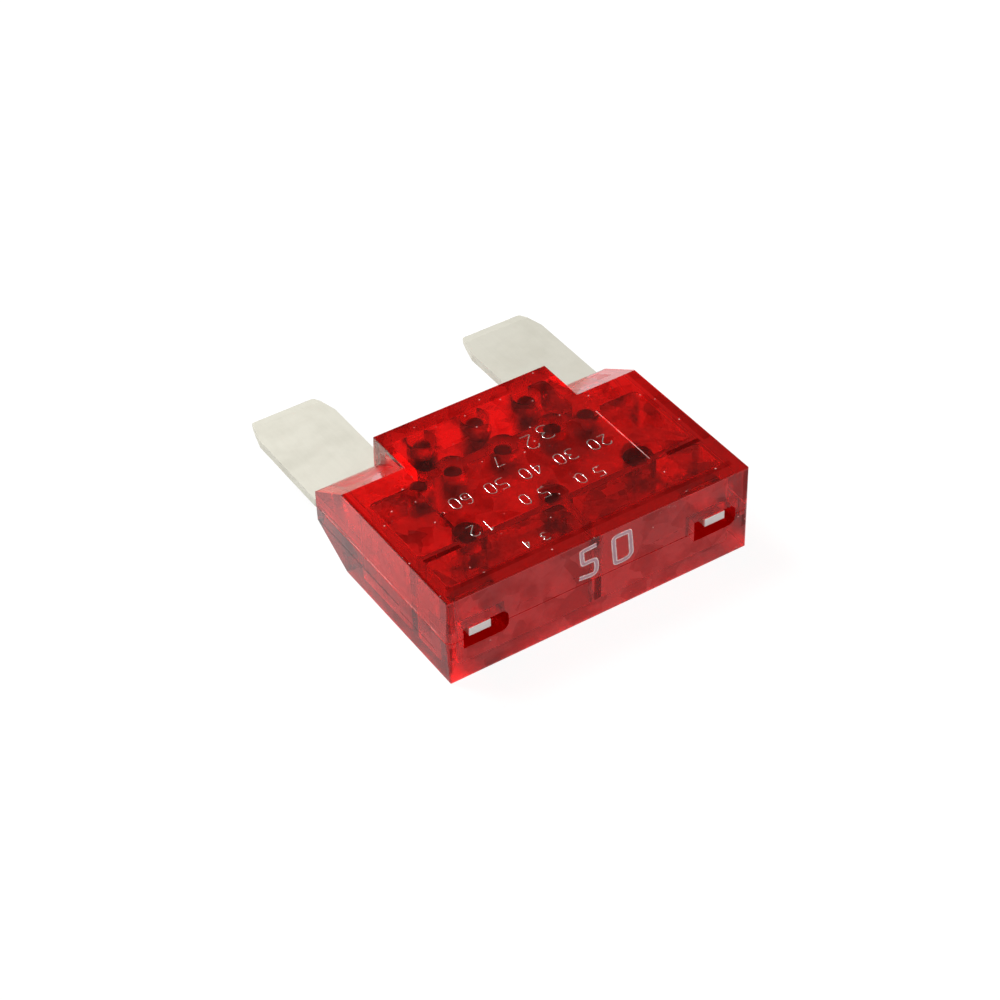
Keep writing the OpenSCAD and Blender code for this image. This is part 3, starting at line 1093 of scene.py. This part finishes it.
@dataclass
class Studio:
    """White table, dim room, one soft lamp, and the camera.

    Args:
        table_half: Half the table's width in metres.
        table_gap: How far the table lies under the fuse, in metres.
        room_colour: Colour of the room's light.
        table_glow: Strength of the table's own glow for the camera.
        mirrored_glow: Its strength for reflections in front of the fuse, where a shadow is painted, and
            behind it.
        glow_fade: Places along Y in metres between which the painted shadow fades out.
        table_paper: Share of light that the plain paper throws back.
        table_thin: Share of light that the camera sees on top of the glow.
        room_light: Strength of the room's light low down and high up.
        room_fade: Upward parts of a direction between which it changes.
        lamp_size: Width of the square lamp in metres.
        lamp_place: Place of the lamp in metres.
        lamp_power: Power of the lamp in watts.
        azimuth: Camera's turn round the fuse in degrees.
        elevation: Camera's rise above the table in degrees.
        roll: Camera's turn about its own axis in degrees.
        distance: Camera's distance in millimetres.
        aside: Camera's shift to its right and upward in millimetres.
        end_face: Place of the end face along Y in millimetres.
        lens: Focal length in millimetres on a sensor 36 mm wide.
    """

    table_half: float = 3.0
    table_gap: float = 0.00005
    room_colour: Colour = (1.0, 0.98, 0.88, 1.0)
    table_glow: float = 0.94
    mirrored_glow: Span = (0.5, 0.93)
    glow_fade: Span = (-8.0 * MM, 5.0 * MM)
    table_paper: float = 0.9
    table_thin: float = 0.1
    room_light: Span = (0.9, 0.12)
    room_fade: Span = (0.05, 0.45)
    lamp_size: float = 0.25
    lamp_place: Triple = (-0.17, 0.30, 0.49)
    lamp_power: float = 4.3
    azimuth: float = -31.882
    elevation: float = 40.102
    roll: float = -1.910
    distance: float = 199.989
    aside: Span = (-8.341, 9.209)
    end_face: float = -16.55
    lens: float = 89.06

    def build(self) -> None:
        """Sets up the table, the room, the lamp and the camera."""
        scene = bpy.context.scene
        scene.view_settings.view_transform = "Standard"
        self.table()
        self.room()
        self.lamp()
        self.camera()

    def table(self) -> None:
        """Lays the white table under the fuse.

        The camera sees a nearly white glow, so the shadow stays faint. Reflections see it too,
        dimmed in front of the fuse by a painted shadow. All other light, and what shows through the fuse,
        sees paper.
        """
        half = self.table_half
        mesh = bpy.data.meshes.new("table")
        corners = [(-half, -half), (half, -half), (half, half), (-half, half)]
        mesh.from_pydata([(x, y, -self.table_gap) for x, y in corners], [], [(0, 1, 2, 3)])
        material, graph = new_material("white_table")
        path = graph.add("LightPath").outputs
        seen = graph.math("MAXIMUM", path["Is Camera Ray"], path["Is Glossy Ray"])
        place = graph.add("TexCoord").outputs["Object"]
        depth = graph.parts(place)["Y"]
        # Painted shadow: the glow for reflections is dimmer in front of the fuse.
        mirrored = graph.ramp(depth, self.glow_fade, self.mirrored_glow)
        plain = graph.times(path["Is Camera Ray"], self.table_glow)
        strength = graph.math("MAXIMUM", plain, mirrored)
        glow = graph.add("Emission", {"Color": WHITE, "Strength": strength}).outputs[0]
        thin = graph.matte((*[self.table_thin] * 3, 1.0))
        both = graph.add("AddShader", {0: glow, 1: thin}).outputs[0]
        paper = graph.matte((*[self.table_paper] * 3, 1.0))
        graph.add("OutputMaterial", {"Surface": graph.mixed(seen, paper, both)})
        mesh.materials.append(material)
        table = bpy.data.objects.new("table", mesh)
        bpy.context.scene.collection.objects.link(table)

    def room(self) -> None:
        """Makes the world: white behind the table for the camera, dim above for everything else."""
        world = bpy.data.worlds.new("room")
        world.use_nodes = True
        bpy.context.scene.world = world
        graph = Graph(world.node_tree)
        towards = graph.add("TexCoord").outputs["Generated"]
        upward = graph.parts(towards)["Z"]
        dim = graph.ramp(upward, self.room_fade, self.room_light)
        path = graph.add("LightPath").outputs
        strength = graph.math("MAXIMUM", dim, path["Is Camera Ray"])
        colour = graph.blend(path["Is Camera Ray"], self.room_colour, WHITE)
        sky = graph.add("Background", {"Color": colour, "Strength": strength}).outputs[0]
        graph.add("OutputWorld", {"Surface": sky})

    def lamp(self) -> None:
        """Hangs one soft square lamp behind the fuse and to its left, turned to face it."""
        light = bpy.data.lights.new("soft_lamp", "AREA")
        light.shape = "SQUARE"
        light.size = self.lamp_size
        light.energy = self.lamp_power
        lamp = bpy.data.objects.new("soft_lamp", light)
        lamp.location = self.lamp_place
        lamp.rotation_euler = Vector(self.lamp_place).to_track_quat("Z", "Y").to_euler()
        bpy.context.scene.collection.objects.link(lamp)

    def camera(self) -> None:
        """Sets the camera at the picture's viewing angle.

        Its backward axis comes from azimuth and elevation. Its right axis is level, then right and
        up turn by the roll. It stands off by the distance and shifts along its own axes.
        """
        turn, rise, roll = np.radians([self.azimuth, self.elevation, self.roll])
        back = np.array([np.sin(turn) * np.cos(rise), -np.cos(turn) * np.cos(rise), np.sin(rise)])
        level = np.cross(UP, back) / np.linalg.norm(np.cross(UP, back))
        over = np.cross(back, level)
        right = np.cos(roll) * level + np.sin(roll) * over
        up = np.cos(roll) * over - np.sin(roll) * level
        place = back * self.distance + right * self.aside[0] + up * self.aside[1]
        place = (place + (0.0, self.end_face, 0.0)) * MM
        data = bpy.data.cameras.new("camera")
        data.lens, data.sensor_width = self.lens, 36.0
        data.clip_start, data.clip_end = 0.01, 20.0
        camera = bpy.data.objects.new("camera", data)
        matrix = np.eye(4)
        matrix[:3] = np.column_stack([right, up, back, place])
        camera.matrix_world = Matrix(matrix.tolist())
        bpy.context.scene.collection.objects.link(camera)
        bpy.context.scene.camera = camera


def dress_node(node: Node, finish: bpy.types.Material) -> None:
    """Gives a CAD node a finish in every material slot.

    Args:
        node: The node.
        finish: Its material.
    """
    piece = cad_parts[node.value]
    if not piece.material_slots:
        piece.data.materials.append(finish)
    for slot in piece.material_slots:
        slot.material = finish
    LOG.info("%s dressed in %s", node.value, finish.name)


def main() -> None:
    """Builds the studio and dresses the fuse."""
    logging.basicConfig(level=logging.INFO, format="%(message)s")
    Studio().build()
    plastic = Housing().dress()
    Strip().dress()
    RatingPrint().build()
    RaisedFigures().build(plastic)


if __name__ == "__main__":
    main()
